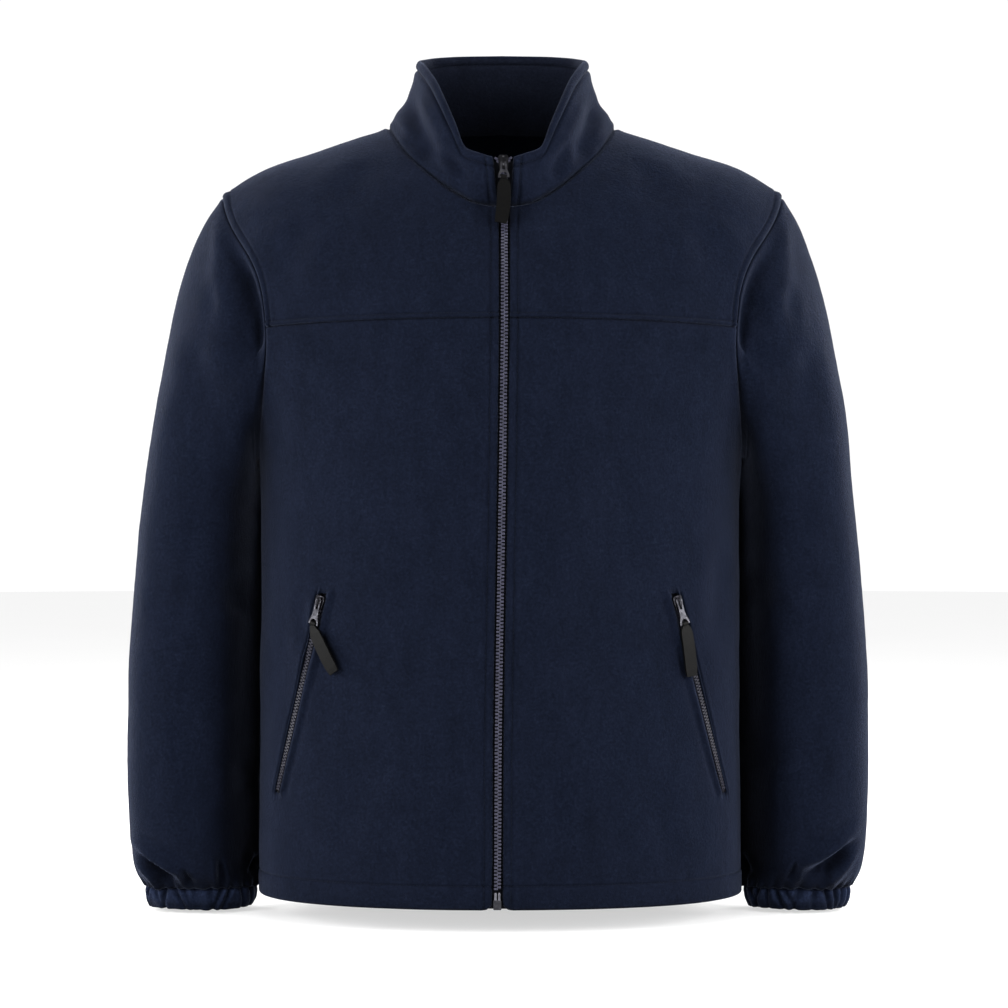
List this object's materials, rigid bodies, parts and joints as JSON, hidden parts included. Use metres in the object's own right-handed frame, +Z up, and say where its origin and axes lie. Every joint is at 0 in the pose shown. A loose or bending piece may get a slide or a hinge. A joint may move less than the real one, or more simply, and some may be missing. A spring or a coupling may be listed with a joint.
{
  "type": "fleece zip jacket",
  "caption": "Full-zip fleece jacket, filled out and hollow, with stand-up collar, chest seam, slanted zipped side pockets and elasticated cuffs",
  "frame": {"origin": "on the middle plane between the two neck points, at the height and depth of the shoulder seams, where the wearer's shoulders carry the jacket", "axes": "+X across the chest, to the right of a viewer who faces the front; the front faces -Y; +Z up"},
  "size_m": [0.6832, 0.2674, 0.7926],
  "materials": {
    "fleece": "navy polyester fleece, matte with a short soft nap",
    "zip_tape": "black-navy woven zip tape",
    "zip_teeth": "grey moulded teeth with a slight sheen",
    "zip_metal": "polished gunmetal plating",
    "pull_strap": "matte black folded pull strap"
  },
  "bodies": {
    "root": {"back": "fleece", "collar": "fleece", "cuff_left": "fleece", "cuff_right": "fleece", "front_left": "fleece", "front_right": "fleece", "front_zip_box": "zip_metal", "front_zip_chain": "zip_teeth", "front_zip_slider": "zip_metal", "front_zip_tape_left": "zip_tape", "front_zip_tape_right": "zip_tape", "pocket_zip_left_chain": "zip_teeth", "pocket_zip_left_slider": "zip_metal", "pocket_zip_left_tape": "zip_tape", "pocket_zip_right_chain": "zip_teeth", "pocket_zip_right_slider": "zip_metal", "pocket_zip_right_tape": "zip_tape", "sleeve_left": "fleece", "sleeve_right": "fleece", "yoke_left": "fleece", "yoke_right": "fleece"},
    "front_pull": {"front_zip_pull_strap": "pull_strap", "front_zip_pull_tab": "zip_metal"},
    "pocket_pull_left": {"pocket_zip_left_pull_strap": "pull_strap", "pocket_zip_left_pull_tab": "zip_metal"},
    "pocket_pull_right": {"pocket_zip_right_pull_strap": "pull_strap", "pocket_zip_right_pull_tab": "zip_metal"}
  },
  "joints": [
    {"name": "front_pull_swing", "type": "hinge", "parent": "root", "child": "front_pull", "pos_m": [0.00132, -0.10768, -0.04451], "axis": [-0.9996, -0.0039, -0.0286], "range_deg": [0, 165]},
    {"name": "pocket_pull_left_swing", "type": "hinge", "parent": "root", "child": "pocket_pull_left", "pos_m": [-0.16081, -0.10324, -0.42817], "axis": [-0.8184, 0.5049, 0.2744], "range_deg": [0, 165]},
    {"name": "pocket_pull_right_swing", "type": "hinge", "parent": "root", "child": "pocket_pull_right", "pos_m": [0.15512, -0.10569, -0.42817], "axis": [-0.8254, -0.4796, -0.2976], "range_deg": [0, 165]}
  ]
}
